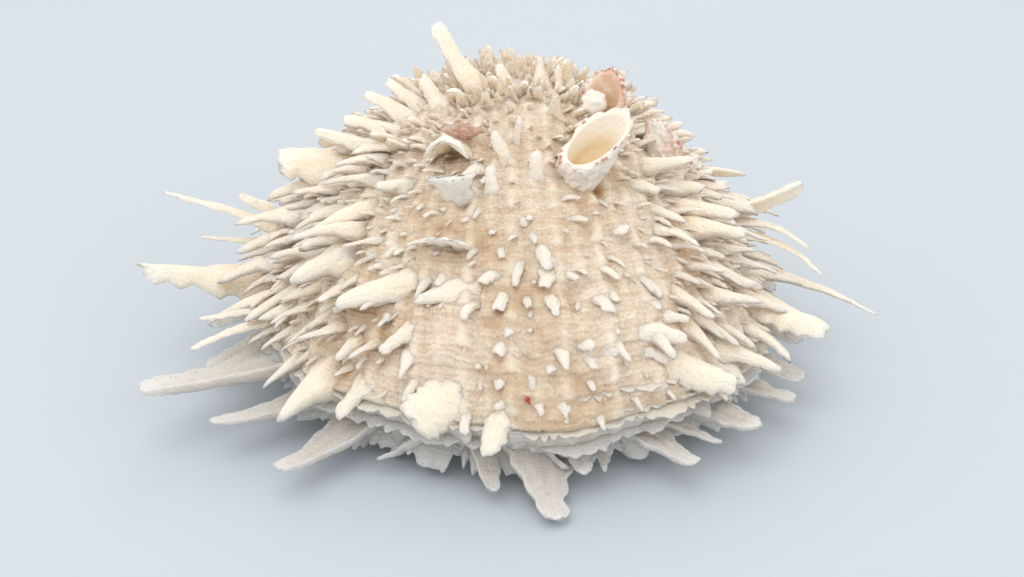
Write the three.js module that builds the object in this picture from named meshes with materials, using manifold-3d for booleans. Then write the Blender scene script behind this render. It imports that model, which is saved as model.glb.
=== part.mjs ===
// A thorny oyster shell, lying closed with its domed valve up. Millimetres, +Z up.
// The flat scar where it was cemented to rock lies on z = 0, and the origin is at the middle of the scar.
// The hinge is at the back (+Y) and the free edge of the shell at the front (-Y).
import * as THREE from "three";
import Module from "manifold-3d";

const wasm = await Module();
wasm.setup();

// Outline of the free edge, seen from above
const HALF_WIDTH = 58;
const FRONT_REACH = 58.5; // from the middle of the outline to the front edge
const HINGE_SETBACK = 50; // from the hinge line to the middle of the outline
const HINGE_Y = 51;
const OBLIQUE = 6; // how far the front of the outline leans to the right
const SIDE_SHIFT = -2;
const EDGE_WAVE = 0.9; // height of the shallow waves along the free edge

// The two valves meet in the plane z = RIM_Z
const RIM_Z = 16;
const GAP = 0.3; // between pieces that touch
const HINGE_ANGLE = Math.acos(-HINGE_SETBACK / FRONT_REACH);
const BOWL_CENTRE = new THREE.Vector3(0, HINGE_Y - HINGE_SETBACK, RIM_Z);
const CAVITY_SCALE = 0.885; // the hollow is the outside drawn in towards BOWL_CENTRE
const FLOOR_THICKNESS = 4.5; // of the lower valve over its scar

// A valve grows out of its beak: each older edge is the free edge made smaller and tipped about the hinge.
const UPPER = {
  side: 1,
  widthPower: 0.66,
  beakBack: 1,
  beakRise: 3,
  oldest: 0.12,
  turn: (growth) => -Math.log(growth) / 0.81,
};
const LOWER = {
  side: -1,
  widthPower: 0.8,
  beakBack: 5,
  beakRise: 6,
  oldest: 0.08,
  turn: (growth) => 0.62 * (1 - growth) ** 0.7,
};

// Ledges left where growth paused: where each stands, and how far it juts
const UPPER_LEDGES = [0.95, 0.84];
const UPPER_JUT = 1.1;
const LOWER_LEDGES = [0.955, 0.87];
const LOWER_JUT = 4.2;
const LOWER_RAGGED = 0.55; // how unevenly the lower ledges jut
const LEDGE_DROP = 0.008; // growth from the lip of a ledge to its foot
const HINGE_FADE = 0.6; // radians over which the ledges die out towards the hinge
const FACE_COLUMNS = 30; // facets round each valve's outside
const UPPER_ROWS = 8;
const LOWER_ROWS = 5;
const HOLLOW_COLUMNS = 20;
const ROW_EASING = 1.1; // over 1 draws the rows together near the free edge

// Ribs run from the beak to the free edge, in degrees to either side of the front, and carry the spines
const RIB_COUNT = 54;
const RIB_LIMIT = 143;
const STEP_RATIO = 0.945; // growth from one spine of a rib to the next older one
const STEP_COUNT = 34;
const STRONG_RIB = 1; // every sixth rib
const MIDDLE_RIB = 0.78; // every other rib
const WEAK_RIB = 0.6;

// Each of these has a value in front, one on the flanks and one on top
const FULL_LENGTH = [5.5, 12.5, 9]; // of an ordinary spine on a strong rib
const LEAST_LENGTH = [99, 12.7, 10.6]; // no ordinary spine shorter than this is raised
const CLEAR_ROUND = [3.4, 2.6, 3]; // of the foot of a named spine
const FAN = [0.45, 0.9, 0.45]; // share of the way out from the bald spot in a spine's lean
const LIFT = [30, 40, 62]; // degrees from the wall
const FLANK_STARTS = 16; // degrees to the side
const FLANK_FULL = 50;
const TOP_STARTS = 0.7; // growth
const TOP_FULL = 0.5;

const LIFT_SPREAD = 30;
const SWING_SPREAD = 36;
const BALD_SPOT = new THREE.Vector3(2, -25, 37); // the spines fan away from here
const ROOT_DEPTH = 1.6; // how far a spine's root sinks into the wall
const ROOT_BACK = 0.22; // how far back it starts, as a share of its length
const ROOT_BACK_MOST = 2.5;
const ROOT_FLARE = 0.17; // extra half width at the root, as a share of its width
const KNEE = 0.45; // where a spine bows
const BODY = 0.23; // half thickness of a spine as a share of its width
const LEAST_BODY = 0.5;
const GUTTER = 0.7; // how deep its underside folds, as a share of the half thickness
const ORDINARY_WIDTH = 0.34; // of its length
const ORDINARY_TIP = 0.4; // of its width
const ORDINARY_BOW = 0.12; // of its length
const LONG_SPINE = 16; // from this length a spine gets the finer form

const WHITE = { color: 0xefe6d6, roughness: 0.75, metalness: 0 };
const CHALK = { color: 0xf3efe8, roughness: 0.8, metalness: 0 };
const PINKISH = { color: 0xe6cbbd, roughness: 0.7, metalness: 0 };

const { degToRad: radians, lerp: mix, smoothstep: between, clamp } = THREE.MathUtils;

// A repeatable number from 0 to 1 for a rib, a step and a purpose.
function chance(rib, step, use) {
  const wave = Math.sin(rib * 127.1 + step * 311.7 + use * 74.7) * 43758.5453;
  return wave - Math.floor(wave);
}

// A value for a place on the domed valve out of one in front, one on the flanks and one on top.
function byZone([front, side, high], angle, growth) {
  const flank = between(Math.abs(angle), FLANK_STARTS, FLANK_FULL);
  const top = 1 - between(growth, TOP_FULL, TOP_STARTS);
  return mix(mix(front, side, flank), high, top);
}

// The free edge at an angle round its middle, relative to the hinge. 0 is the front, positive to the right.
function edgePoint(angle) {
  const wave = EDGE_WAVE * (Math.sin(7 * angle + 1) + 0.6 * Math.sin(13 * angle)) * Math.cos(angle / 2);
  const lean = (OBLIQUE * (1 + Math.cos(angle))) / 2 + SIDE_SHIFT;
  return [
    (HALF_WIDTH + wave) * Math.sin(angle) + lean,
    -HINGE_SETBACK - (FRONT_REACH + wave) * Math.cos(angle),
  ];
}

// A point of a valve's outside. growth is 1 at the free edge and falls towards the beak.
function valvePoint(valve, angle, growth) {
  const [x, y] = edgePoint(angle);
  const turn = valve.turn(growth);
  const older = 1 - growth;
  return new THREE.Vector3(
    x * growth ** valve.widthPower,
    HINGE_Y + growth * y * Math.cos(turn) + older * valve.beakBack,
    RIM_Z + valve.side * (GAP / 2 - growth * y * Math.sin(turn) + older * valve.beakRise),
  );
}

// Where a spine stands: its point, the way the shell grows there, and the way out of the shell.
function standing(valve, angle, growth) {
  const small = 0.002;
  const newer = Math.min(growth + small, 1);
  const point = valvePoint(valve, angle, growth);
  const grows = valvePoint(valve, angle, newer).sub(valvePoint(valve, angle, newer - 2 * small)).normalize();
  const round = valvePoint(valve, angle + small, growth).sub(valvePoint(valve, angle - small, growth));
  const out = new THREE.Vector3().crossVectors(grows, round).multiplyScalar(valve.side).normalize();
  return { point, grows, out };
}

// A closed solid through a row of rings with the same number of points. Its two ends are fans from a
// ring's first point, or from a middle point where one is given.
function loft(rings, firstMiddle, lastMiddle) {
  const count = rings[0].length;
  const last = rings.length - 1;
  const points = rings.flat();
  const faces = [];
  for (let i = 0; i < count; i++) {
    const next = (i + 1) % count;
    for (let ring = 0; ring < last; ring++) {
      const a = ring * count;
      const b = a + count;
      faces.push(a + i, a + next, b + next, a + i, b + next, b + i);
    }
  }
  const close = (start, middle, turn) => {
    const hub = middle ? points.push(middle) - 1 : start;
    for (let i = middle ? 0 : 1; i < count - (middle ? 0 : 1); i++) {
      const edge = [start + i, start + ((i + 1) % count)];
      faces.push(hub, ...(turn ? edge.reverse() : edge));
    }
  };
  close(0, firstMiddle, true);
  close(last * count, lastMiddle, false);
  const geometry = new THREE.BufferGeometry().setFromPoints(points);
  geometry.setIndex(faces);
  return solid(geometry);
}

// The solid of a closed geometry, turned face out if its rings ran the other way.
function solid(geometry) {
  const vertProperties = geometry.getAttribute("position").array;
  const make = (triVerts) => new wasm.Manifold(new wasm.Mesh({ numProp: 3, vertProperties, triVerts }));
  const faces = Uint32Array.from(geometry.index.array);
  const made = make(faces);
  return made.volume() > 0 ? made : make(faces.reverse());
}

function union(solids) {
  return wasm.Manifold.union(solids);
}

function meanOf(points) {
  return points.reduce((sum, point) => sum.add(point), new THREE.Vector3()).divideScalar(points.length);
}

// Everything above a height, as a solid to cut with.
function slabAbove(z) {
  const reach = 300;
  const ring = (height) =>
    [0, 90, 180, 270].map(
      (turn) => new THREE.Vector3(reach * Math.cos(radians(turn)), reach * Math.sin(radians(turn)), height),
    );
  return loft([ring(z), ring(z + reach)]);
}

// A named mesh from the largest body of a solid.
function meshOf(name, made, finish) {
  const whole = made.decompose().sort((a, b) => b.volume() - a.volume())[0];
  const { numProp, numVert, vertProperties, triVerts } = whole.getMesh();
  const points = [];
  for (let i = 0; i < numVert; i++) points.push(new THREE.Vector3().fromArray(vertProperties, i * numProp));
  const geometry = new THREE.BufferGeometry().setFromPoints(points);
  geometry.setIndex([...triVerts]);
  geometry.computeVertexNormals();
  const mesh = new THREE.Mesh(geometry, new THREE.MeshStandardMaterial(finish));
  mesh.name = name;
  return mesh;
}

// The filled outside of a valve: D-shaped rings from the free edge to the beak, closed along the hinge.
// Each ledge juts out by up to jut and drops back on its younger side. swell moves the whole face out.
function filledValve(valve, columns, growths, { ledges = [], jut = 0, ragged = 0, swell = 0 } = {}) {
  const rows = growths.map((growth) => ({ growth, lift: 0 }));
  for (const ledge of ledges) {
    rows.push({ growth: ledge, lift: jut }, { growth: ledge + LEDGE_DROP, lift: 0 });
  }
  rows.sort((a, b) => b.growth - a.growth);
  const rings = rows.map(({ growth, lift }, row) => {
    const ring = [];
    for (let column = 0; column <= columns; column++) {
      const angle = mix(-HINGE_ANGLE, HINGE_ANGLE, column / columns);
      const { point, out, grows } = standing(valve, angle, growth);
      const fade = 1 - between(Math.abs(angle), HINGE_ANGLE - HINGE_FADE, HINGE_ANGLE);
      const reach = lift * fade * (1 - ragged * chance(column, row, 1));
      point.addScaledVector(out, reach + swell);
      point.addScaledVector(grows, reach * ragged);
      ring.push(point);
    }
    ring.push(ring[0].clone().lerp(ring[columns], 0.5));
    return ring;
  });
  return loft(rings, new THREE.Vector3(BOWL_CENTRE.x, BOWL_CENTRE.y, rings[0][0].z), meanOf(rings.at(-1)));
}

// Growth values from the free edge to the beak, closer together near the edge.
function growthRows(valve, count) {
  return Array.from({ length: count + 1 }, (_, row) => mix(1, valve.oldest, (row / count) ** ROW_EASING));
}

// The hollow of a valve, carried a little past the rim plane so that it is open there.
function hollowOf(valve, rows) {
  const past = valve.side * -GAP;
  const shift = BOWL_CENTRE.clone().multiplyScalar(1 - CAVITY_SCALE);
  return filledValve(valve, HOLLOW_COLUMNS, growthRows(valve, rows))
    .scale([CAVITY_SCALE, CAVITY_SCALE, CAVITY_SCALE])
    .translate([shift.x, shift.y, shift.z + past]);
}

// The path of a spine starts under the wall, a little way back, and bows on its way to the tip.
// face is the way its broad side looks, which roll turns about the line to the tip.
function spinePath({ base, out, tip, bow, sweep, roll }) {
  const along = tip.clone().sub(base).normalize();
  const upright = out.clone().addScaledVector(along, -out.dot(along)).normalize();
  const face = upright.clone().applyAxisAngle(along, roll);
  const across = new THREE.Vector3().crossVectors(along, face);
  const level = along.clone().addScaledVector(out, -along.dot(out)).normalize();
  const back = Math.min(ROOT_BACK * base.distanceTo(tip), ROOT_BACK_MOST);
  const start = base.clone().addScaledVector(out, -ROOT_DEPTH).addScaledVector(level, -back);
  const knee = base.clone().lerp(tip, KNEE).addScaledVector(face, bow).addScaledVector(across, sweep);
  return { path: new THREE.QuadraticBezierCurve3(start, knee, tip), face };
}

// A spine: a strap with a flared root and a gutter below. swell makes it that much fatter all round.
function spineSolid(spine, swell = 0) {
  const { width, tipWidth, sides, steps } = spine;
  const { path, face } = spinePath(spine);
  const firstTurn = sides === 3 ? Math.PI / 6 : 0;
  const rings = [];
  for (let step = 0; step <= steps; step++) {
    const t = step / steps;
    const centre = path.getPoint(t);
    const ahead = path.getTangent(t);
    const up = face.clone().addScaledVector(ahead, -face.dot(ahead)).normalize();
    const right = new THREE.Vector3().crossVectors(ahead, up);
    const halfWide = mix(width, tipWidth, t) / 2 + ROOT_FLARE * width * (1 - t) ** 3 + swell;
    const halfThick = Math.max(LEAST_BODY, BODY * mix(width, tipWidth, t)) + swell;
    const ring = [];
    for (let i = 0; i < sides; i++) {
      const turn = (i / sides) * 2 * Math.PI + firstTurn;
      const rise = halfThick * (Math.sin(turn) - GUTTER * Math.cos(turn) ** 2);
      const point = centre.clone().addScaledVector(right, halfWide * Math.cos(turn)).addScaledVector(up, rise);
      ring.push(point);
    }
    rings.push(ring);
  }
  return loft(rings);
}

// A named spine, from a row of the lists below. The sweep and roll of most are 0.
function namedSpine(valve, [angle, growth, x, y, z, width, tipWidth, bow, sweep = 0, roll = 0]) {
  const { point, out } = standing(valve, radians(angle), growth);
  const tip = new THREE.Vector3(x, y, z);
  const long = point.distanceTo(tip) > LONG_SPINE;
  const form = { width, tipWidth, bow, sweep, roll: radians(roll), sides: long ? 5 : 4, steps: long ? 4 : 2 };
  return { base: point, out, tip, ...form };
}

// The long spines and leaves that stand out from the rest of the domed valve. Each row gives the rib angle in
// degrees, growth, the tip's x, y and z, the widths at root and tip, bow, sweep and roll in degrees.
const UPPER_SPINES = [
  [-96, 0.88, -81, 12, 36, 6, 1.6, 2.4],
  [-93.5, 0.83, -64, 15, 34, 4, 2.6, 1.5],
  [-98.5, 0.92, -73, 10, 25, 4, 1.6, 1],
  [-89, 0.97, -84, -6, 25, 9, 2, -2, 0, -45],
  [-75, 0.99, -68, -22, 21, 3.5, 1.8, 1],
  [-70, 0.98, -69, -28, 17, 4, 2, 2],
  [-35, 0.98, -35, -50, 14, 5, 2.6, 1.5],
  [-30, 0.84, -36, -35, 32, 7, 3.4, 2.5],
  [-14, 0.84, -19, -38, 35, 7, 2, 1.5],
  [-25, 0.895, -26, -44, 26, 4.5, 2.4, 2],
  [-5, 0.985, -4, -62, 13, 6.5, 3.6, 1.5],
  [7, 0.954, 12, -58, 17, 5, 3, 2],
  [1, 0.93, 6, -55, 20, 2.6, 1.6, 2.5],
  [34, 0.954, 47, -47, 20, 8, 5, 1.5],
  [49, 0.98, 50, -39, 15, 4, 2.4, 1.5],
  [48, 0.954, 58, -38, 18, 6, 1.6, 1.5],
  [68, 0.944, 70, -25, 20, 6, 8, 1.5, 0, 25],
  [93, 0.97, 86, -6, 13, 7, 1.4, 3],
  [87, 0.85, 72, -3, 21, 6, 2, 4],
  [85, 0.82, 69, 0, 26, 4.5, 1.6, 4],
  [84, 0.78, 69, 10, 39, 4.5, 6, -1.5, 0, -50],
  [79, 0.695, 52, 13, 38, 4, 1.8, 1],
  [61, 0.67, 47, 4, 45, 3.5, 1.6, 1],
  [53, 0.66, 43, 2, 49, 5, 1.8, 1],
  [-15.5, 0.458, -16, 28, 72, 6, 4.4, 0, -3.4],
  [-39, 0.496, -28, 22, 60, 5, 3.4, 1],
  [-43, 0.52, -33, 19, 58, 5, 3, 1.5],
  [-48, 0.56, -38, 14, 54, 5, 3, 1.5],
  [-53, 0.6, -44, 11, 52, 5, 2.6, 1.5],
  [-66, 0.64, -53, 10, 45, 9, 9, 1.5, 0, -35],
  [-29, 0.506, -20, 22, 61, 5, 3, 0.5],
  [-4.5, 0.455, -2, 24, 63, 6, 4, 0.5],
  [10, 0.45, 8, 26, 64.5, 5.5, 1.4, 0],
  [16, 0.46, 12, 24, 63, 4.5, 2.2, 0],
  [-17.5, 0.975, -20, -55, 17, 11, 9, 2],
  [-16, 0.715, -13, -17.5, 53, 6, 11, 1],
  [-18, 0.783, -13.5, -32.5, 45.5, 10, 10, 0],
  [-18, 0.63, -12, -10, 57, 9, 9, 1],
];

// The short tongues in front, in rows alike
const FRONT_TONGUES = [
  [-6, 0.809, -5.5, -37, 38.5, 4.2, 2, 0.5],
  [-1, 0.796, 1.5, -39, 38.5, 2.4, 1.4, 1],
  [6, 0.806, 7.5, -40, 39, 5.5, 2.4, 1],
  [-4, 0.836, -2, -43, 35.5, 3, 2.6, 0.5],
  [6, 0.838, 10, -45, 35, 5, 1.2, 1],
  [17, 0.845, 21.5, -41.5, 34, 4.6, 2.4, 1],
  [-5, 0.871, 0.5, -47.5, 32, 3, 2.2, 0.5],
  [-4, 0.893, -2, -49.5, 29, 5, 2.6, 0.5],
  [7, 0.895, 12, -53.5, 27.5, 5.4, 0.8, 1],
  [11, 0.895, 17.5, -48, 29.5, 4, 2.4, 0.5],
  [13, 0.916, 17.5, -51.5, 26.5, 2.8, 1.6, 0.5],
  [-5, 0.94, -2, -54.5, 23.5, 5, 0.7, 0.5],
  [-3, 0.965, -2.5, -56.5, 20.5, 3.6, 1, 0.5],
  [24, 0.895, 37, -42.5, 28.5, 6.5, 2.4, 1.5],
  [23, 0.756, 25.5, -25, 44.5, 5, 2, 0.5],
  [4, 0.776, 8.5, -37, 41.5, 3.8, 2.2, 1],
  [16, 0.91, 22.5, -47, 27.5, 3.6, 2, 0.5],
  [17, 0.94, 23, -50, 23.5, 3.4, 1.4, 0.5],
  [28, 0.861, 32, -37, 32.5, 3.4, 1.6, 0.5],
  [31, 0.884, 38, -37.5, 30, 4, 1.6, 1],
  [26, 0.919, 33, -45, 24.5, 4, 1.6, 1],
  [-16, 0.918, -12, -43.5, 31, 8, 6, 0.5],
  [-4, 0.647, -3, -8, 59.5, 3, 2.4, 1],
  [-8, 0.705, -3.5, -15.5, 55, 3, 2.4, 1],
  [4, 0.681, 6, -14.5, 58, 3.2, 2.6, 1],
  [0, 0.611, 3, -5, 61.5, 3, 2.4, 1],
];

// The straps along the free edge of the lower valve
const LOWER_SPINES = [
  [-63, 0.96, -77, -42, 15, 11, 5, 2],
  [-50, 0.95, -62, -46, 10, 9, 3.4, 3],
  [-37, 0.95, -46, -60, 8, 9, 5, 4],
  [-22, 0.95, -27, -51, 4, 5, 1.6, 1],
  [-9, 0.95, -3, -62, 4, 7, 3.2, 1],
  [3, 0.95, 9.5, -69, 2.4, 12, 6, 3],
  [10, 0.96, 16, -60, 7, 7, 2.6, 1],
  [16, 0.95, 20, -58, 6, 3.4, 1.2, 1],
  [26, 0.95, 38, -58, 8, 8, 4.8, 1.5],
  [34, 0.96, 44, -52, 9, 6, 1.8, 1.5],
  [42, 0.96, 52, -49, 11, 9, 5, 1.5],
  [56, 0.96, 62, -36, 9, 6, 4, 2],
  [66, 0.96, 66, -26, 8, 6, 3, 2],
  [-76, 0.96, -68, -20, 7, 6, 3, 2],
  [-90, 0.96, -70, -4, 9, 6, 3, 2],
  [84, 0.96, 68, -10, 8, 6, 3, 2],
  [104, 0.96, 66, 14, 9, 6, 3, 2],
  [-104, 0.96, -68, 14, 9, 6, 3, 2],
  [120, 0.96, 58, 34, 10, 6, 3, 2],
  [-120, 0.96, -60, 34, 10, 6, 3, 2],
  [5, 0.95, 12.5, -56.5, 5.5, 4.6, 3.4, 0.5],
  [24, 0.95, 28, -49, 2.5, 6.5, 5.5, 0.5],
];

// The ordinary spines: one for each rib and growth step that grew long enough. Chance sets where each stands
// in its step, its length, how far it lifts and how far it swings aside.
function ordinarySpines(valve, taken) {
  const spines = [];
  for (let rib = 0; rib < RIB_COUNT; rib++) {
    const rank = rib % 6 === 0 ? STRONG_RIB : rib % 2 === 0 ? MIDDLE_RIB : WEAK_RIB;
    for (let step = 0; step < STEP_COUNT; step++) {
      const angle = mix(-RIB_LIMIT, RIB_LIMIT, (rib + 0.25 + 0.5 * chance(rib, step, 2)) / RIB_COUNT);
      const growth = STEP_RATIO ** (step + 0.2 + 0.6 * chance(rib, step, 3));
      if (growth < valve.oldest + 0.1) continue;
      const here = (values) => byZone(values, angle, growth);
      const length = here(FULL_LENGTH) * rank * mix(0.5, 1.5, chance(rib, step, 4) ** 1.6);
      if (length < here(LEAST_LENGTH)) continue;
      const { point, grows, out } = standing(valve, radians(angle), growth);
      if (taken.some((spot) => spot.distanceTo(point) < here(CLEAR_ROUND))) continue;
      const fan = point.clone().sub(BALD_SPOT).normalize();
      const flat = grows.clone().addScaledVector(fan, here(FAN));
      flat.addScaledVector(out, -flat.dot(out)).normalize();
      flat.applyAxisAngle(out, radians(SWING_SPREAD * (chance(rib, step, 6) - 0.5)));
      const lift = radians(here(LIFT) + LIFT_SPREAD * (chance(rib, step, 5) - 0.5));
      const tip = point.clone().addScaledVector(flat, length * Math.cos(lift));
      tip.addScaledVector(out, length * Math.sin(lift));
      const width = ORDINARY_WIDTH * length;
      const shape = { width, tipWidth: ORDINARY_TIP * width, bow: ORDINARY_BOW * length, sweep: 0, roll: 0 };
      spines.push({ base: point, out, tip, ...shape, sides: 3, steps: 2 });
    }
  }
  return spines;
}

// The empty shells of other creatures, cemented on the dome: a deep cup, a wide one behind it, and two small
// ones. Each has its rib angle and growth, the middle of its mouth, the way the mouth looks, the way the long
// axis of the mouth runs, and the mouth's two widths.
const CEMENTED = {
  cemented_cup_front: {
    spot: [19, 0.685], mouth: [19, -14.3, 60.8], faces: [-0.35, -0.6, 0.72], long: [0.78, 0.24, 0.58],
    wide: 17.5, narrow: 10.5,
  },
  cemented_cup_rear: {
    spot: [33, 0.562], mouth: [21.5, 8, 61.5], faces: [-0.65, -0.62, 0.45], long: [0.3, 0.3, 0.9],
    wide: 12, narrow: 11,
  },
  cemented_cup_right: {
    spot: [47, 0.634], mouth: [36.5, 4, 52.5], faces: [0.75, 0.45, 0.5], long: [0.6, -0.3, -0.6],
    wide: 13, narrow: 10,
  },
  cemented_cup_left: {
    spot: [-18, 0.596], mouth: [-9.9, -1.5, 59.6], faces: [-0.2, -0.97, 0.1], long: [1, 0, 0.1],
    wide: 8.5, narrow: 6.5,
  },
};
const CUP_SIDES = 11;
const CUP_SINK = 2.5; // how far a cup's root runs into the valve before it is cut to fit
const CUP_ROOM = 3; // clear of ordinary spines round a cup, to its sides
// height as a share of the way to the mouth, and width as a share of the mouth's: outside, lip, inside
const CUP_PROFILE = [
  [0, 0.4],
  [0.5, 0.88],
  [0.8, 1],
  [1, 1],
  [0.97, 0.84],
  [0.75, 0.68],
  [0.5, 0.34],
];
const SWELL_STEP = 1.3 * GAP; // swells a valve's face enough to keep GAP clear of its flat facets
const SPINE_ROOM = 3 * GAP; // and a spine
const NEAR_RIM = 4; // spines that come this near to the rim plane are cut out of the lower valve

// Where a cup stands on the domed valve.
function cupSpot({ spot: [angle, growth] }) {
  return standing(UPPER, radians(angle), growth);
}

// A cup: its outside from root to lip and its inside back down, as one loft.
function cupSolid(cup) {
  const { point, out } = cupSpot(cup);
  const root = point.clone().addScaledVector(out, -CUP_SINK);
  const mouth = new THREE.Vector3(...cup.mouth);
  const normal = new THREE.Vector3(...cup.faces).normalize();
  const long = new THREE.Vector3(...cup.long);
  long.addScaledVector(normal, -long.dot(normal)).normalize();
  const short = new THREE.Vector3().crossVectors(normal, long);
  const rings = CUP_PROFILE.map(([height, size]) =>
    Array.from({ length: CUP_SIDES }, (_, side) => {
      const turn = (side / CUP_SIDES) * 2 * Math.PI;
      const ring = root.clone().lerp(mouth, height);
      ring.addScaledVector(long, (cup.wide / 2) * size * Math.cos(turn));
      return ring.addScaledVector(short, (cup.narrow / 2) * size * Math.sin(turn));
    }),
  );
  return loft(rings, meanOf(rings[0]), meanOf(rings.at(-1)));
}

const upperForm = { ledges: UPPER_LEDGES, jut: UPPER_JUT };
const upperRows = growthRows(UPPER, UPPER_ROWS);
const lowerForm = { ledges: LOWER_LEDGES, jut: LOWER_JUT, ragged: LOWER_RAGGED };
const lowerRows = growthRows(LOWER, LOWER_ROWS);
const upperFace = filledValve(UPPER, FACE_COLUMNS, upperRows, upperForm);
const upperFaceSwollen = filledValve(UPPER, FACE_COLUMNS, upperRows, { ...upperForm, swell: SWELL_STEP });
const lowerFace = filledValve(LOWER, FACE_COLUMNS, lowerRows, lowerForm);
const lowerFaceSwollen = filledValve(LOWER, FACE_COLUMNS, lowerRows, { swell: SWELL_STEP });

const cups = Object.values(CEMENTED);
const roundCups = [[0, 0], [CUP_ROOM, -1], [-CUP_ROOM, -1], [1, CUP_ROOM + 1]];
const cupFeet = cups.flatMap((cup) =>
  roundCups.map(([x, y]) => cupSpot(cup).point.add(new THREE.Vector3(x, y, 0))),
);
const named = [...UPPER_SPINES, ...FRONT_TONGUES].map((row) => namedSpine(UPPER, row));
const upperSpines = [...named, ...ordinarySpines(UPPER, [...named.map(({ base }) => base), ...cupFeet])];
const lowerSpines = LOWER_SPINES.map((row) => namedSpine(LOWER, row));

const upperWall = upperFace.subtract(hollowOf(UPPER, 5));
const upper = union([upperWall, ...upperSpines.map((spine) => spineSolid(spine))]).subtract(
  lowerFaceSwollen.translate([0, 0, 2 * GAP]),
);
const nearRim = upperSpines.filter(({ base, tip }) => Math.min(base.z, tip.z) < RIM_Z + NEAR_RIM);
const lowerWall = lowerFace.subtract(hollowOf(LOWER, 3).intersect(slabAbove(FLOOR_THICKNESS)));
const lower = union([lowerWall, ...lowerSpines.map((spine) => spineSolid(spine))])
  .intersect(slabAbove(0))
  .subtract(union(nearRim.map((spine) => spineSolid(spine, SPINE_ROOM))))
  .subtract(slabAbove(RIM_Z - GAP / 2));

const spineRoom = union(upperSpines.map((spine) => spineSolid(spine, SPINE_ROOM)));
const cupRoom = union([upperFaceSwollen, spineRoom, upper]);
const group = new THREE.Group();
group.add(meshOf("upper_valve", upper, WHITE), meshOf("lower_valve", lower, CHALK));
let before = cupRoom;
for (const [name, cup] of Object.entries(CEMENTED)) {
  const cut = cupSolid(cup).subtract(before);
  before = before.add(cut.translate([GAP, 0, 0])).add(cut.translate([-GAP, 0, 0])).add(cut);
  group.add(meshOf(name, cut, PINKISH));
}
export default group;
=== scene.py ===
import bpy
import numpy as np
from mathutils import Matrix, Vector


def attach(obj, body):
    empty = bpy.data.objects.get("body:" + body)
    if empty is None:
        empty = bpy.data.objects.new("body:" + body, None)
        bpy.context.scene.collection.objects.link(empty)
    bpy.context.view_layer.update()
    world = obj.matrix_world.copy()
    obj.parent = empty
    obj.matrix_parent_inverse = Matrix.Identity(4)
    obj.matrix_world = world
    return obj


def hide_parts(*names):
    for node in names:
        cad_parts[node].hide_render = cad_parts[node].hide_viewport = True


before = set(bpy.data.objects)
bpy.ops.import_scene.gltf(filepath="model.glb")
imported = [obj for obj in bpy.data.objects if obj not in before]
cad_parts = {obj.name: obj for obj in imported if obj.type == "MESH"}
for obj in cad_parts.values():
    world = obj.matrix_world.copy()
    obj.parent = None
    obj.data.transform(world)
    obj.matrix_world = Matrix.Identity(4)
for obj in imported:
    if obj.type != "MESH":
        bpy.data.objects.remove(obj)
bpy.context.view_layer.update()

# The wall of the domed valve: chalky calcite, laid down along the free edge a little at a time. Every older
# edge is the free edge made smaller and tipped up about the hinge, which winds the wall into a dome. Ribs
# run from the beak to the edge, and each rib swells behind every spine and drops away in front of it.
MM = 0.001
HALF_WIDTH = 58
FRONT_REACH = 58.5
HINGE_SETBACK = 50
HINGE_Y = 51
OBLIQUE = 6
SIDE_SHIFT = -2
EDGE_WAVE = 0.9
RIM_Z = 16
GAP = 0.3
HINGE_ANGLE = np.arccos(-HINGE_SETBACK / FRONT_REACH)
BOWL_CENTRE = np.array([0, HINGE_Y - HINGE_SETBACK, RIM_Z])
CAVITY_SCALE = 0.885
RIB_COUNT = 54
RIB_LIMIT = 143
STEP_RATIO = 0.945
LEDGES = ((0.7, 0.55), (1.9, 0.3), (4.3, 0.16))  # how many to a growth step, and their height in mm
UPPER = {
    "side": 1, "width_power": 0.66, "beak_back": 1, "beak_rise": 3, "oldest": 0.12,
    "turn": lambda growth: -np.log(growth) / 0.81,
}


def eased(value, low, high):
    """0 below low, 1 above high, and a smooth step between them."""
    share = np.clip((value - low) / (high - low), 0, 1)
    return share * share * (3 - 2 * share)


def mixed(first, second, share):
    """The first value where the share is 0, the second where it is 1."""
    return first + (second - first) * share


def chance(rib, step, use):
    """A repeatable number from 0 to 1: the fraction part of a large sine of the three whole numbers."""
    wave = np.sin(rib * 127.1 + step * 311.7 + use * 74.7) * 43758.5453
    return wave - np.floor(wave)


def lumps(points, size, seed=0):
    """Smooth noise from -1 to 1: chance values at the corners of a grid of cubes, eased between them."""
    place = points / size + seed * 17.31
    cell = np.floor(place)
    inside = place - cell
    inside = inside * inside * (3 - 2 * inside)
    total = np.zeros(points.shape[:-1])
    for corner in np.ndindex(2, 2, 2):
        wave = np.sin((cell + corner) @ np.array([12.9898, 78.233, 37.719])) * 43758.5453
        weight = np.prod(np.where(corner, inside, 1 - inside), axis=-1)
        total += weight * (wave - np.floor(wave))
    return 2 * total - 1


def free_edge(angle):
    """The free edge at an angle round its middle: an oval with shallow waves, leaning right in front."""
    wave = EDGE_WAVE * (np.sin(7 * angle + 1) + 0.6 * np.sin(13 * angle)) * np.cos(angle / 2)
    lean = OBLIQUE * (1 + np.cos(angle)) / 2 + SIDE_SHIFT
    return (HALF_WIDTH + wave) * np.sin(angle) + lean, -HINGE_SETBACK - (FRONT_REACH + wave) * np.cos(angle)


def valve_point(valve, angle, growth):
    """The free edge times growth, turned about the hinge. Its width shrinks more slowly."""
    x, y = free_edge(angle)
    turn = valve["turn"](growth)
    older = 1 - growth
    rise = GAP / 2 - growth * y * np.sin(turn) + older * valve["beak_rise"]
    across = x * growth ** valve["width_power"]
    back = HINGE_Y + growth * y * np.cos(turn) + older * valve["beak_back"]
    return np.stack(np.broadcast_arrays(across, back, RIM_Z + valve["side"] * rise), axis=-1)


def unit(vectors):
    """The same ways with length 1."""
    return vectors / np.maximum(np.linalg.norm(vectors, axis=-1, keepdims=True), 1e-9)


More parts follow.
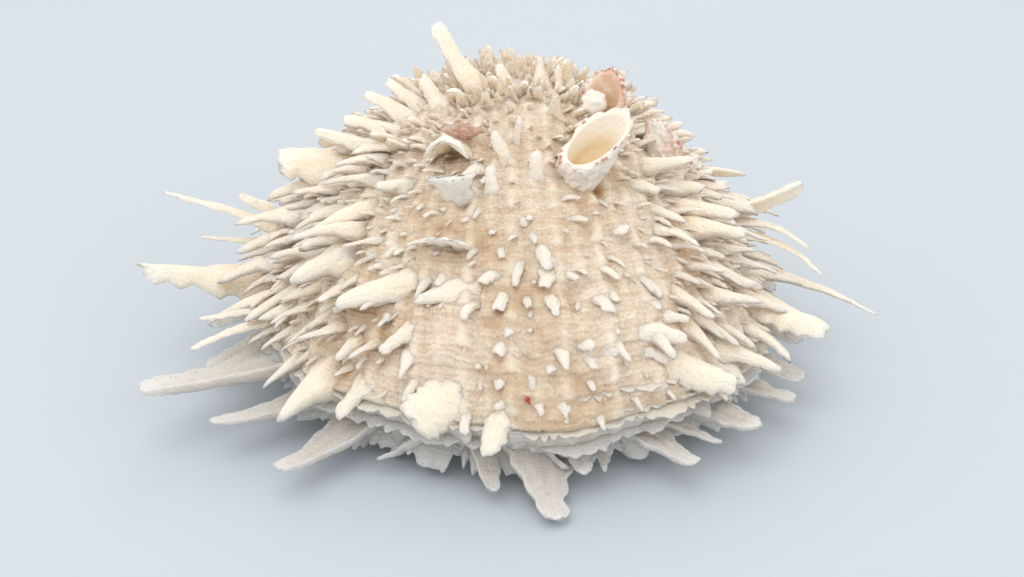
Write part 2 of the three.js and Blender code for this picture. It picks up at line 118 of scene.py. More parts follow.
def standing(valve, angle, growth):
    """A point of the valve, the way the shell grows there and the way out, by differences of the form."""
    small = 0.002
    newer = np.minimum(growth + small, 1)
    grows = unit(valve_point(valve, angle, newer) - valve_point(valve, angle, newer - 2 * small))
    around = valve_point(valve, angle + small, growth) - valve_point(valve, angle - small, growth)
    out = unit(np.cross(grows, around) * valve["side"])
    return valve_point(valve, angle, growth), grows, out


def ranked(rib, second, third):
    """How strong a rib is: 1 for every sixth, the second value for other even ones, else the third."""
    return np.where(rib % 6 == 0, 1.0, np.where(rib % 2 == 0, second, third))


def rib_relief(angle, growth):
    """Height in mm and hollow from 0 to 1 of the ribbed wall. Across a rib it is an eased ridge, and along
    the rib the ridge falls off with the distance behind the next spine. Shingled growth ledges are
    added."""
    rib_place = (np.degrees(angle) + RIB_LIMIT) / (2 * RIB_LIMIT) * RIB_COUNT
    rib = np.floor(rib_place)
    near = 1 - 2 * np.abs(rib_place - rib - 0.5)
    ridge = near * near * (3 - 2 * near)
    rank = ranked(rib, 0.72, 0.5)
    step_place = np.log(growth) / np.log(STEP_RATIO)
    step = np.floor(step_place)
    here = step + 0.2 + 0.6 * chance(rib, step, 3)
    before = step - 0.8 + 0.6 * chance(rib, step - 1, 3)
    behind = step_place - np.where(step_place >= here, here, before)
    ridge_height = rank * ridge * (0.35 + 1.1 * np.exp(-2.2 * behind))
    riblets = 0.08 * np.cos(2 * np.pi * rib_place * 4)
    place = np.stack([angle * 14, step_place, 0 * angle], axis=-1)
    wander = lumps(place, 5, 3) + 0.5 * lumps(place, 1.7, 4)
    ledge = np.zeros(angle.shape)
    for per_step, tall in LEDGES:
        phase = step_place * per_step + wander * 0.6
        ledge += tall * (1 - (phase - np.floor(phase))) ** 1.5
    youth = eased(growth, 0.55, 0.95)
    height = 1.25 * ridge_height + riblets + ledge * mixed(0.35, 1, youth)
    return height, 1 - np.clip(ridge_height * 1.1 + 0.15 * wander, 0, 1)


def ring_faces(rows, columns):
    """The quads of a grid of closed rings, as corner numbers."""
    row, column = np.meshgrid(np.arange(rows - 1), np.arange(columns), indexing="ij")
    start, after = row * columns + column, row * columns + (column + 1) % columns
    return np.stack([start, after, after + columns, start + columns], axis=-1).reshape(-1, 4)


def add_piece(name, node, parts, finish):
    """A mesh object from points in mm, quads, caps with one polygon on each row, and layers of values. It
    stands for its node, whose part it hides, and hangs from the root body."""
    points, quads, caps, layers = parts
    corners = np.concatenate([quads.ravel(), caps.ravel()])
    sizes = np.concatenate([np.full(len(quads), 4), np.full(len(caps), caps.shape[-1])])
    mesh = bpy.data.meshes.new(name)
    mesh.vertices.add(len(points))
    mesh.vertices.foreach_set("co", (points * MM).ravel())
    mesh.loops.add(len(corners))
    mesh.loops.foreach_set("vertex_index", corners.astype(np.int32))
    mesh.polygons.add(len(sizes))
    mesh.polygons.foreach_set("loop_start", (np.cumsum(sizes) - sizes).astype(np.int32))
    mesh.polygons.foreach_set("loop_total", sizes.astype(np.int32))
    mesh.polygons.foreach_set("use_smooth", np.ones(len(sizes), bool))
    for layer, values in layers.items():
        mesh.attributes.new(layer, "FLOAT", "POINT").data.foreach_set("value", values.ravel())
    mesh.update(calc_edges=True)
    mesh.validate()
    piece = bpy.data.objects.new(name, mesh)
    bpy.context.scene.collection.objects.link(piece)
    piece.data.materials.append(finish)
    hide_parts(node)
    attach(piece, "root")


class Wire:
    """A shader socket. Sums and products of wires, and of wires and numbers, add Math nodes."""

    def __init__(self, tree, socket=None):
        self.tree = tree
        self.socket = socket

    def node(self, kind, settings=None, inputs=None, output=0):
        """Adds a node, its settings first, then its sockets' values or links. Gives one of its outputs."""
        made = self.tree.nodes.new(kind)
        for name, value in (settings or {}).items():
            setattr(made, name, value)
        for name, value in (inputs or {}).items():
            if isinstance(value, Wire):
                self.tree.links.new(value.socket, made.inputs[name])
            else:
                made.inputs[name].default_value = value
        return Wire(self.tree, made.outputs[output])

    def maths(self, operation, *others, clamp=False):
        settings = {"operation": operation, "use_clamp": clamp}
        return self.node("ShaderNodeMath", settings, dict(enumerate([self, *others])))

    def __add__(self, other):
        return self.maths("ADD", other)

    def __sub__(self, other):
        return self.maths("SUBTRACT", other)

    def __rsub__(self, other):
        return (self * -1) + other

    def __mul__(self, other):
        return self.maths("MULTIPLY", other)

    __radd__ = __add__
    __rmul__ = __mul__

    def clamped(self):
        return self.maths("ADD", 0.0, clamp=True)

    def between(self, low, high):
        """0 at low, 1 at high, eased between."""
        settings = {"interpolation_type": "SMOOTHSTEP"}
        return self.node("ShaderNodeMapRange", settings, {"Value": self, "From Min": low, "From Max": high})

    def colour(self, low, high):
        """The colour low where this is 0 and the colour high where it is 1."""
        settings = {"data_type": "RGBA", "clamp_factor": True}
        return self.node("ShaderNodeMix", settings, {0: self, 6: low, 7: high}, output=2)

    def layer(self, name):
        """A value that the mesh stores at its points."""
        return self.node("ShaderNodeAttribute", {"attribute_name": name}, output="Fac")

    def noise(self, place, scale, detail, roughness=0.5):
        inputs = {"Vector": place, "Scale": scale, "Detail": detail, "Roughness": roughness}
        return self.node("ShaderNodeTexNoise", {}, inputs)

    def spots(self, place, scale):
        """The distance to the nearest of many scattered points."""
        return self.node("ShaderNodeTexVoronoi", {"feature": "F1"}, {"Vector": place, "Scale": scale})

    def bump(self, strength, distance):
        return self.node("ShaderNodeBump", {}, {"Height": self, "Strength": strength, "Distance": distance})

    def feeds(self, shader, name):
        self.tree.links.new(self.socket, shader.inputs[name])


def rgb(red, green, blue):
    return (red, green, blue, 1.0)


def new_finish(name, constants):
    """A new material, its shader with the sockets that are the same all over, and a wire to start from."""
    material = bpy.data.materials.new(name)
    material.use_nodes = True
    shader = material.node_tree.nodes["Principled BSDF"]
    for socket, value in constants.items():
        shader.inputs[socket].default_value = value
    return material, shader, Wire(material.node_tree)


def shell_finish(name, pale, warm, stain, white, stain_amount=1.0):
    """Chalky shell: warm tan in the hollows and at the roots of spines, which is painted shade as well as the
    shell's own stain, pale outside and white at tips, with tan stains in soft patches, brown specks in the
    hollows, growth lines and a fine grain in the bump."""
    material, shader, start = new_finish(name, {
        "Subsurface Weight": 0.45, "Subsurface Radius": (1.0, 0.72, 0.5), "Subsurface Scale": 0.004,
        "Specular IOR Level": 0.35,
    })
    place = start.node("ShaderNodeTexCoord", output="Object")
    reach, tone, line, brown = (start.layer(layer) for layer in ("reach", "tone", "line", "brown"))
    patch = start.noise(place, 45.0, 3.0, 0.55)
    cloud = start.noise(place, 160.0, 3.0, 0.55)
    grain = start.noise(place, 1500.0, 2.0, 0.55)
    pores = start.noise(place, 3600.0, 1.0, 0.55)
    specks = start.spots(place, 850.0)
    fine_lines = (line * 40.0 + cloud * 16.0).maths("SINE")
    broad_lines = (line * 15.0 + patch * 9.0).maths("SINE")
    ripples = fine_lines * 0.3 + broad_lines * 0.3
    # hollow is high where the reach layer is low: between ribs and at the roots of spines and frills, where
    # the warm tan is painted shade as well as stain
    hollow = 1 - reach.between(-0.2, 0.75)
    sandy = (grain - 0.5) * 1.3 + (cloud - 0.5) * 0.9 + ripples * 0.35
    # The warm tint mixes painted shade in the hollows with tan stain in soft patches and a tone that varies
    # from piece to piece
    stain_and_painted_shade = hollow * 0.7 + patch.between(0.42, 0.68) * 0.45 + sandy * hollow + (tone - 0.5) * 0.3
    deeper = [0.82 * part + 0.18 * other for part, other in zip(pale, warm)]
    creamy = tone.between(0.0, 0.8).colour(rgb(*deeper), rgb(*pale))
    tinted = (stain_and_painted_shade * stain_amount).between(0.25, 1.3).colour(creamy, rgb(*warm))
    blotch = hollow * patch.between(0.5, 0.72) * cloud.between(0.35, 0.7) * stain_amount
    stained = blotch.colour(tinted, rgb(*stain))
    tipped = (reach.between(0.7, 1.0) * 0.8).colour(stained, rgb(*white))
    sand = grain.between(0.56, 0.7) * hollow * patch.between(0.4, 0.6)
    gritty = (sand * 0.5).colour(tipped, rgb(0.56, 0.40, 0.25))
    fleck = (1 - specks.between(0.06, 0.2)) * hollow.between(0.35, 0.9) * cloud.between(0.5, 0.6)
    flecked = (fleck * stain_amount * 0.5).colour(gritty, rgb(0.30, 0.18, 0.10))
    rusty = (brown * (0.4 + cloud * 0.9)).between(0.1, 0.8).colour(flecked, rgb(0.50, 0.29, 0.13))
    coloured = (brown - 0.75).between(0.0, 0.3).colour(rusty, rgb(0.30, 0.16, 0.07))
    coloured.feeds(shader, "Base Color")
    roughness = 0.62 + hollow * 0.2 + (grain - 0.5) * 0.15
    roughness.feeds(shader, "Roughness")
    lined = ripples * (0.35 + hollow * 0.9)
    height = lined + grain * 1.5 + pores * 0.7 + cloud * 1.4 + specks.between(0.0, 0.35) * 0.3
    height.bump(0.75, 0.00045).feeds(shader, "Normal")
    return material


CREAM = shell_finish(
    "cream_shell", (0.84, 0.75, 0.63), (0.66, 0.52, 0.39), (0.55, 0.38, 0.23), (0.88, 0.82, 0.73)
)
WALL_COLUMNS = 400
HINGE_COLUMNS = 8
WALL_ROWS = 186
INNER_ROWS = 20


def valve_rings(valve, growth, relief):
    """Rings round a valve at the given growths: the ribbed face, then straight back along the hinge. Near
    the hinge and the beak the relief fades out. Gives points, and the reach and line layers."""
    angle = np.linspace(-HINGE_ANGLE, HINGE_ANGLE, WALL_COLUMNS)
    angle, growth = np.broadcast_arrays(angle[None], growth[:, None])
    point, _, out = standing(valve, angle, growth)
    height, hollow = relief(angle, growth)
    fade = 1 - eased(np.abs(angle), HINGE_ANGLE - 0.25, HINGE_ANGLE)
    point = point + out * (height * fade)[..., None]
    share = np.linspace(0, 1, HINGE_COLUMNS + 2)[None, 1:-1, None]
    back = mixed(point[:, -1:], point[:, :1], share)
    # The reach layer is lowest in the hollows between ribs and along the hinge, where the finish paints shade
    # as well as tan stain
    reach = np.concatenate([0.45 - hollow * 0.65, np.full(back.shape[:2], 0.1)], axis=1)
    line = np.concatenate([np.log(growth) / np.log(STEP_RATIO), np.zeros(back.shape[:2])], axis=1)
    return np.concatenate([point, back], axis=1), reach, line


FRONT_TONGUES = [
    # rib angle, growth, tip x, y, z, root width, tip width, bow
    (-6, 0.809, -5.5, -37, 38.5, 4.2, 2, 0.5),
    (-1, 0.796, 1.5, -39, 38.5, 2.4, 1.4, 1),
    (6, 0.806, 7.5, -40, 39, 5.5, 2.4, 1),
    (-4, 0.836, -2, -43, 35.5, 3, 2.6, 0.5),
    (0, 0.839, 4.5, -43, 36, 2, 1.4, 0.5),
    (6, 0.838, 10, -45, 35, 5, 1.2, 1),
    (17, 0.845, 21.5, -41.5, 34, 4.6, 2.4, 1),
    (20, 0.839, 23, -39, 35, 3, 1.6, 0.5),
    (13, 0.851, 14, -42, 35, 1.8, 1, 0.5),
    (-5, 0.871, 0.5, -47.5, 32, 3, 2.2, 0.5),
    (0, 0.879, 5, -46, 32, 1.6, 1, 0.5),
    (-4, 0.893, -2, -49.5, 29, 5, 2.6, 0.5),
    (7, 0.895, 12, -53.5, 27.5, 5.4, 0.8, 1),
    (11, 0.895, 17.5, -48, 29.5, 4, 2.4, 0.5),
    (13, 0.916, 17.5, -51.5, 26.5, 2.8, 1.6, 0.5),
    (5, 0.921, 9, -52.5, 26.5, 2.6, 2, 0.5),
    (-5, 0.94, -2, -54.5, 23.5, 5, 0.7, 0.5),
    (2, 0.963, 7, -59, 20.5, 2.2, 1.2, 0.5),
    (-3, 0.965, -2.5, -56.5, 20.5, 3.6, 1, 0.5),
    (24, 0.895, 37, -42.5, 28.5, 6.5, 2.4, 1.5),
    (11, 0.706, 15.5, -21, 50, 2.2, 0.8, 0.5),
    (12, 0.734, 17, -25.5, 47, 2.6, 1, 0.5),
    (18, 0.73, 19.5, -22.5, 47, 2, 1, 0.5),
    (33, 0.723, 31, -17.5, 47, 2.4, 1, 0.5),
    (23, 0.756, 25.5, -25, 44.5, 5, 2, 0.5),
    (4, 0.776, 8.5, -37, 41.5, 3.8, 2.2, 1),
    (9, 0.811, 14.5, -37.5, 39.5, 2.6, 1.4, 0.5),
    (-11, 0.926, -5.5, -50.5, 26, 1.8, 1, 0.5),
    (16, 0.91, 22.5, -47, 27.5, 3.6, 2, 0.5),
    (17, 0.94, 23, -50, 23.5, 3.4, 1.4, 0.5),
    (13, 0.941, 17.5, -54, 23, 3, 1.2, 0.5),
    (-8, 0.754, -3, -28, 45, 2, 1.4, 0.5),
    (8, 0.86, 12, -46.5, 32.5, 3, 1.4, 0.5),
    (19, 0.88, 23, -43.5, 30, 3, 1, 0.5),
    (28, 0.861, 32, -37, 32.5, 3.4, 1.6, 0.5),
    (31, 0.884, 38, -37.5, 30, 4, 1.6, 1),
    (26, 0.919, 33, -45, 24.5, 4, 1.6, 1),
    (2, 0.755, 6, -31, 44.5, 2.4, 1.2, 0.5),
    (-6, 0.778, -1, -33, 42, 2.4, 1.4, 0.5),
    (-16, 0.918, -12, -43.5, 31, 8, 6, 0.5),
    (-4, 0.647, -3, -8, 59.5, 3, 2.4, 1),
    (-8, 0.705, -3.5, -15.5, 55, 3, 2.4, 1),
    (4, 0.681, 6, -14.5, 58, 3.2, 2.6, 1),
    (0, 0.611, 3, -5, 61.5, 3, 2.4, 1),
    (10, 0.569, 11, 1, 64, 3, 2, 1),
    (37, 0.662, 35, -2, 50.5, 5, 2, 1),
]
DEPTH, BROWN = 0, 1
PITS = [
    # rib angle, growth, radius, and the depth and how brown it is
    (-15.5, 0.718, 1.5, 1.3, 1.2),
    (-20, 0.632, 2.6, 0.9, 1.0),
    (-17, 0.781, 1.2, 0.9, 0.8),
    (-15, 0.984, 1.6, 0.6, 0.7),
    (-18, 0.978, 2.4, 0.2, 0.5),
    (49, 0.788, 1.5, 1.0, 0.9),
    (40, 0.773, 1.0, 0.4, 0.7),
    (21, 0.70, 2.4, 1.0, 1.0),
    (21, 0.823, 2.2, 0.2, 0.4),
    (19, 0.506, 3.5, 0.2, 0.5),
    (-31, 0.86, 1.2, 0.5, 0.6),
    (-60, 0.8, 1.4, 0.5, 0.7),
    (66, 0.72, 1.6, 0.6, 0.7),
]


def pits(points, which):
    """The sum over the pits of a bell of each pit's radius round its middle, times its depth or brown."""
    total = np.zeros(points.shape[:-1])
    for degrees, growth, radius, *strengths in PITS:
        middle = valve_point(UPPER, np.radians(degrees), np.array(growth))
        away = np.linalg.norm(points - middle, axis=-1) / radius
        total += strengths[which] * np.exp(-away * away)
    return total


def swelling(points):
    """Mounds that the front tongues rise from: a bell across each, long behind it and steep in front."""
    table = np.array(FRONT_TONGUES, float)
    bases, grows, outs = standing(UPPER, np.radians(table[:, 0]), table[:, 1])
    total = np.zeros(points.shape[:-1])
    for base, ahead, out, width in zip(bases, grows, outs, table[:, 5]):
        away = points - base
        along = away @ ahead / width
        aside = away @ np.cross(ahead, out) / width
        mound = np.where(along < 0, np.exp(-0.5 * along * along), np.exp(-6 * along * along))
        total = np.maximum(total, 0.34 * width * mound * np.exp(-2.6 * aside * aside))
    return total


def upper_relief(angle, growth):
    """The ribbed wall with broad swellings, the pits, and a rough grain of small porous lumps."""
    height, hollow = rib_relief(angle, growth)
    smooth = valve_point(UPPER, angle, growth)
    broad = 0.7 * lumps(smooth, 14, 1) + 0.35 * lumps(smooth, 5, 2)
    rough = 0.26 * lumps(smooth, 1.7, 8) + 0.3 * np.minimum(lumps(smooth, 0.9, 9), 0)
    return height + broad + rough + swelling(smooth) - pits(smooth, DEPTH), hollow


def plain_relief(angle, growth):
    """The smooth inside of a valve."""
    return 0 * angle * growth, 0 * angle * growth + 0.3


def bowl(valve, relief, rows, floor=None):
    """A whole valve as one closed skin: rings from the beak to the free edge outside, then back inside,
    where the form is drawn in towards the middle of the mouth."""
    older = mixed(valve["oldest"], 1, np.linspace(0, 1, rows) ** 0.95)
    outside, reach, line = valve_rings(valve, older, relief)
    younger = np.linspace(1, valve["oldest"], INNER_ROWS)
    inside, inner_reach, inner_line = valve_rings(valve, younger, plain_relief)
    inside = BOWL_CENTRE + CAVITY_SCALE * (inside - BOWL_CENTRE)
    inside[0, :, 2] = outside[-1, :, 2].mean()
    if floor is not None:
        outside[..., 2] = np.maximum(outside[..., 2], 0)
        inside[..., 2] = np.maximum(inside[..., 2], floor)
    points = np.concatenate([outside, inside])
    columns = points.shape[1]
    quads = ring_faces(len(points), columns)
    last = (len(points) - 1) * columns
    caps = np.stack([np.arange(columns)[::-1], last + np.arange(columns)])
    layers = {"reach": np.concatenate([reach, inner_reach]), "line": np.concatenate([line, inner_line])}
    layers["tone"] = np.full(layers["reach"].shape, 0.8)
    layers["brown"] = pits(points, BROWN) if floor is None else 0 * points[..., 0]
    return points.reshape(-1, 3), quads, caps, layers


add_piece("upper_valve_wall", "upper_valve", bowl(UPPER, upper_relief, WALL_ROWS), CREAM)

# The spines of the domed valve grow out of its free edge as gutters and straps of the same shell, and are
# left standing as the edge moves on: short tongues in front, shingled straps on the flanks, upright pegs on
# top. The long ones each have their own place and reach. The rest stand one to a rib and growth step.
ROOT_DEPTH = 1.6
FLOOR_CLEAR = 0.1  # mm that the lowest spines stay above what the shell rests on
SHORT_ROW = 8  # numbers in a row that ends at its bow
OLDEST_STEP = 34
SHORTEST = 1.7  # mm, and shorter ordinary spines are worn away
BALD_SPOT = np.array([2, -25, 37])
UPPER_SPINES = [
    # as the rows of FRONT_TONGUES, and where they have them, sweep, roll in degrees and how torn the end is
    (-96, 0.88, -81, 12, 36, 6, 1.6, 2.4, 0, 0, 0.3),
    (-93.5, 0.83, -64, 15, 34, 4, 2.6, 1.5),
    (-98.5, 0.92, -73, 10, 25, 4, 1.6, 1),
    (-89, 0.97, -83, -6, 25, 11, 4, -3, 0, -45, 0.6),
    (-75, 0.99, -68, -22, 21, 3.5, 1.8, 1),
    (-70, 0.98, -69, -28, 17, 4, 2, 2),
    (-35, 0.98, -35, -50, 14, 5, 2.6, 1.5),
    (-30, 0.84, -36, -35, 32, 7, 3.4, 2.5),
    (-14, 0.84, -19, -38, 35, 7, 2, 1.5),
    (-25, 0.895, -26, -44, 26, 4.5, 2.4, 2),
    (-5, 0.985, -4, -62, 13, 6.5, 3.6, 1.5),
    (7, 0.954, 12, -58, 17, 5, 3, 2),
    (1, 0.93, 6, -55, 20, 2.6, 1.6, 2.5),
    (34, 0.954, 47, -47, 20, 8, 5, 1.5),
    (49, 0.98, 50, -39, 15, 4, 2.4, 1.5),
    (48, 0.954, 58, -38, 18, 6, 1.6, 1.5),
    (68, 0.944, 70, -25, 20, 6, 8, 1.5, 0, 25, 0.4),
    (93, 0.97, 86, -6, 13, 7, 1.4, 3),
    (87, 0.85, 73, -3, 21.5, 6, 2, 6.5, 0, 0, 0.1),
    (85, 0.82, 70, 0, 27, 4.5, 1.6, 7, 0, 0, 0.1),
    (84, 0.78, 69, 10, 39, 4.5, 6, -1.5, 0, -50, 0.1),
    (79, 0.695, 52, 13, 38, 4, 1.8, 1),
    (61, 0.67, 47, 4, 45, 3.5, 1.6, 1),
    (53, 0.66, 43, 2, 49, 5, 1.8, 1),
    (-15.5, 0.458, -16, 28, 72, 6, 5.4, 0, -3.4, 0, 0.2),
    (-39, 0.496, -28, 22, 60, 5, 3.4, 1),
    (-43, 0.52, -33, 19, 58, 5, 3, 1.5),
    (-48, 0.56, -38, 14, 54, 5, 3, 1.5),
    (-53, 0.6, -44, 11, 52, 5, 2.6, 1.5),
    (-66, 0.64, -53, 10, 45, 9, 9, 1.5, 0, -35, 0.3),
    (-29, 0.506, -20, 22, 61, 5, 3, 0.5),
    (-4.5, 0.455, -2, 24, 63, 6, 4, 0.5),
    (10, 0.45, 8, 26, 64.5, 5.5, 1.4, 0),
    (16, 0.46, 12, 24, 63, 4.5, 2.2, 0),
    (-17.5, 0.975, -20, -55, 17, 11, 9, 2, 0, 0, 0.6),
]


def named_spines(valve, rows, fold, tone, body=0.2, torn=0.2):
    """The columns of a list of named spines as arrays, with where each stands on its valve. A short row has
    no sweep and no roll, and is torn as much as its neighbours."""
    table = np.array([row + (0, 0, torn)[len(row) - SHORT_ROW:] for row in rows], float)
    degrees, growth, *tip, width, tip_width, bow, sweep, roll, torn_end = table.T
    point, _, out = standing(valve, np.radians(degrees), growth)
    some = chance(np.arange(len(table)), 1, 9)
    return {
        "base": point, "out": out, "tip": np.stack(tip, axis=-1), "width": width, "tip_width": tip_width,
        "bow": bow, "sweep": sweep, "roll": np.radians(roll), "torn": torn_end,
        "tone": tone + 0.2 * (some - 0.5), "fold": fold * (0.6 + 0.8 * some),
        "body": np.full(len(table), body),
    }


def chosen(spines, which):
    return {name: values[which] for name, values in spines.items()}


def ordinary_spines(valve, shift, size, taken, zones):
    """One spine for each rib and growth step, unless it stands by a named one. They lean from the way of
    growth outwards and fan away from the bald spot. A shift moves them all on by that share of half a rib
    and step."""
    ribs, steps = np.meshgrid(np.arange(RIB_COUNT), np.arange(OLDEST_STEP))
    rib, step = ribs.ravel().astype(float), steps.ravel().astype(float)
    use = 40 * shift
    place = (rib + shift * 0.5 + 0.25 + 0.5 * chance(rib, step, 2 + use)) / RIB_COUNT
    degrees = mixed(-RIB_LIMIT, RIB_LIMIT, place)
    growth = STEP_RATIO ** (step + 0.5 * shift + 0.2 + 0.6 * chance(rib, step, 3 + use))
    flank = eased(np.abs(degrees), 16, 50)
    top = 1 - eased(growth, 0.5, 0.74)
    some = [chance(rib, step, number + use) for number in range(4, 14)]

    def by_zone(front_value, flank_value, top_value):
        return mixed(mixed(front_value, flank_value, flank), top_value, top)

    length = by_zone(*zones) * ranked(rib, 0.78, 0.6) * mixed(0.5, 1.5, some[0] ** 1.6) * size
    length = length * (1 - 0.22 * eased(degrees, 45, 70) * eased(growth, 0.7, 0.85))
    leaf = 1 + 0.5 * flank * (some[8] > 0.86) * (1 - top)
    point, grows, out = standing(valve, np.radians(degrees), growth)
    point = point + out * (0.7 * upper_relief(np.radians(degrees), growth)[0])[:, None]
    apart = np.linalg.norm(point[:, None] - taken[None], axis=-1).min(axis=1)
    keep = (growth > valve["oldest"] + 0.1) & (growth < 1) & (length > SHORTEST)
    keep = keep & (apart > by_zone(3.4, 2.6, 3.0))
    flat = grows + by_zone(0.45, 0.9, 0.45)[:, None] * unit(point - BALD_SPOT)
    flat = unit(flat - out * (flat * out).sum(-1, keepdims=True))
    lift = np.radians(by_zone(30, 40, 62) + 30 * (some[1] - 0.5))
    swing = np.radians(36 * (some[2] - 0.5))
    flat = flat * np.cos(swing)[:, None] + np.cross(out, flat) * np.sin(swing)[:, None]
    tip = point + (flat * np.cos(lift)[:, None] + out * np.sin(lift)[:, None]) * length[:, None]
    width = np.clip(length * by_zone(0.5, 0.34, 0.55), 1.3, 4.6) * mixed(0.7, 1.35, some[3]) * leaf
    spines = {
        "base": point, "out": out, "tip": tip, "width": width,
        "tip_width": width * by_zone(0.45, 0.36, 0.55) * mixed(0.4, 1.6, some[4]),
        "bow": length * mixed(0.02, 0.26, some[5]), "sweep": length * 0.16 * (some[6] - 0.5),
        "tone": by_zone(0.75, 0.45, 0.12) + 0.3 * (some[7] - 0.5),
        "fold": by_zone(0.3, 0.75, 0.35) * mixed(0.6, 1.4, some[8]), "body": by_zone(0.22, 0.27, 0.4),
        "roll": 0.9 * (some[9] - 0.5), "torn": 0.4 * some[0], "degrees": degrees,
    }
    return chosen(spines, keep)


def spine_paths(spines, steps):
    """A bent path for each spine: a quadratic curve from under the wall to the tip, through a bowed middle.
    Gives the share of the way at each step and, there, the middle and the ways ahead, up and right. The tip
    comes twice, for the closing ring."""
    base, tip, out = (spines[name][:, None] for name in ("base", "tip", "out"))
    bow, sweep, roll = (spines[name][:, None, None] for name in ("bow", "sweep", "roll"))
    reach = np.linalg.norm(tip - base, axis=-1, keepdims=True)
    along = (tip - base) / reach
    upright = unit(out - along * (out * along).sum(-1, keepdims=True))
    face = upright * np.cos(roll) + np.cross(along, upright) * np.sin(roll)
    across = np.cross(along, face)
    level = unit(along - out * (along * out).sum(-1, keepdims=True))
    start = base - out * ROOT_DEPTH - level * np.minimum(0.22 * reach, 2.5)
    knee = base + 0.45 * (tip - base) + face * bow + across * sweep
    t = 1 - (1 - np.linspace(0, 1, steps)) ** 1.25
    t = np.append(t, 1)[None, :, None]
    centre = (1 - t) ** 2 * start + 2 * t * (1 - t) * knee + t ** 2 * tip
    ahead = unit(2 * (1 - t) * (knee - start) + 2 * t * (tip - knee))
    up = unit(face - ahead * (face * ahead).sum(-1, keepdims=True))
    return t[..., 0], centre, ahead, up, np.cross(ahead, up)


def spine_mesh(spines, sides, steps):
    """A strap along each path. Its section is a flat oval, folded down along both edges into a gutter,
    widest at the root and rounded off in the last tenth, where its end is ragged. The width swells and
    narrows a little on the way, and a small last ring closes the end."""
    t, centre, ahead, up, right = spine_paths(spines, steps)
    width, tip_width, body = (spines[name][:, None] for name in ("width", "tip_width", "body"))
    fold, torn = (spines[name][:, None, None] for name in ("fold", "torn"))
    count = len(width)
    seed = np.arange(count)[:, None]
    rounding = np.sqrt(np.clip(1 - (np.clip(t - 0.87, 0, 1) / 0.132) ** 2, 0.02, 1))
    cornered = 1 if "square" in spines else mixed(0.5, 1, rounding)
    swell = 1 + 0.09 * np.sin(t * 9 + seed * 2.1) + 0.05 * np.sin(t * 23 + seed * 1.3)
    half_wide = (mixed(width, tip_width, t ** 0.9) / 2 + width * 0.4 * (1 - t) ** 3.5) * cornered * swell
    half_thick = np.maximum(mixed(width * body, tip_width * body, t), 0.28) * rounding
    half_thick = half_thick + width * 0.16 * (1 - t) ** 4
    closing = np.where(np.arange(steps + 1) == steps, 0.3, 1)[None, :, None]
    turn = (np.arange(sides) / sides * 2 * np.pi)[None, None]
    x, y = np.cos(turn), np.sin(turn)
    edge_place = np.broadcast_arrays(t[..., None] * 11, seed[..., None] * 3.7, np.sign(x) * 5)
    edge = lumps(np.stack(edge_place, axis=-1), 1, 3)
    wide = half_wide[..., None] * (1 + 0.7 * torn * edge * eased(t, 0.1, 0.4)[..., None])
    thick = half_thick[..., None]
    folded = fold * wide * x * x
    rise = thick * np.where(y > 0, y, 0.55 * y) - folded + 0.05 * wide * np.cos(x * 9)
    tear = chance(np.round(x * 3), seed[..., None], 13) + chance(np.round(x * 7), seed[..., None], 14) - 1
    slant = 1.3 * x * (chance(seed, 3, 15) - 0.5)[..., None]
    torn_by = torn * np.minimum(tip_width, 3.5)[..., None] * eased(t, 0.7, 1)[..., None]
    ragged = (tear + slant) * torn_by
    ragged[:, -1] = 0.9 * ragged[:, -2].mean(axis=-1, keepdims=True)
    wide, rise = wide * closing, rise * closing
    points = centre[:, :, None] + right[:, :, None] * (wide * x)[..., None] + up[:, :, None] * rise[..., None]
    rough = 0.24 * lumps(points, 1.9, 11) + 0.14 * lumps(points, 0.8, 12)
    points = points + up[:, :, None] * (rough * np.minimum(1, 2.2 * thick) * closing)[..., None]
    points = points + ahead[:, :, None] * ragged[..., None]
    points[..., 2] = np.maximum(points[..., 2], FLOOR_CLEAR)
    first = (np.arange(count) * (steps + 1) * sides)[:, None, None]
    quads = (ring_faces(steps + 1, sides)[None, :, ::-1] + first).reshape(-1, 4)
    ring = np.arange(sides)
    caps = (np.stack([ring, steps * sides + ring[::-1]])[None] + first).reshape(-1, sides)
    shape = points.shape[:-1]
    layers = {
        # Reach is 0 at the root, where the finish paints shade as well as tan stain, and 1 at the tip
        "reach": np.broadcast_to((t ** 0.85)[..., None], shape).copy(),
        "tone": np.broadcast_to(spines["tone"][:, None, None], shape).copy(),
        "line": np.broadcast_to(x * 0.4 + seed[..., None] * 0.37, shape).copy(),
    }
    return points.reshape(-1, 3), quads, caps, layers


SPINE_CREAM = shell_finish(
    "spine_shell", (0.96, 0.845, 0.71), (0.90, 0.70, 0.53), (0.68, 0.48, 0.30), (0.96, 0.88, 0.78), 0.8
)
CUP_SPOTS = {
    # rib angle and growth where each cemented cup stands, kept free of ordinary spines
    "cemented_cup_front": (19, 0.685),
    "cemented_cup_rear": (33, 0.562),
    "cemented_cup_right": (47, 0.634),
    "cemented_cup_left": (-18, 0.596),
}
ROUND_A_CUP = ((0, 0, 0), (3, -1, 0), (-3, -1, 0), (1, 4, 0))
LATTICES = [
    # shift, size, and length in mm in front, on the flanks and on top
    (0, 1, (4.5, 12.5, 5.2)),
    (1, 0.72, (4, 11, 6.2)),
    (0.5, 0.55, (1, 11, 7.5)),
]
FRONT_HALF_ANGLE = 22
long_spines = named_spines(UPPER, UPPER_SPINES, fold=0.4, tone=0.5)
tongues = named_spines(UPPER, FRONT_TONGUES, fold=0.3, tone=0.95, torn=0.22)
cup_angles, cup_growths = np.array(list(CUP_SPOTS.values())).T
cup_points = standing(UPPER, np.radians(cup_angles), cup_growths)[0]
taken = np.concatenate([long_spines["base"], tongues["base"], *(cup_points + by for by in ROUND_A_CUP)])
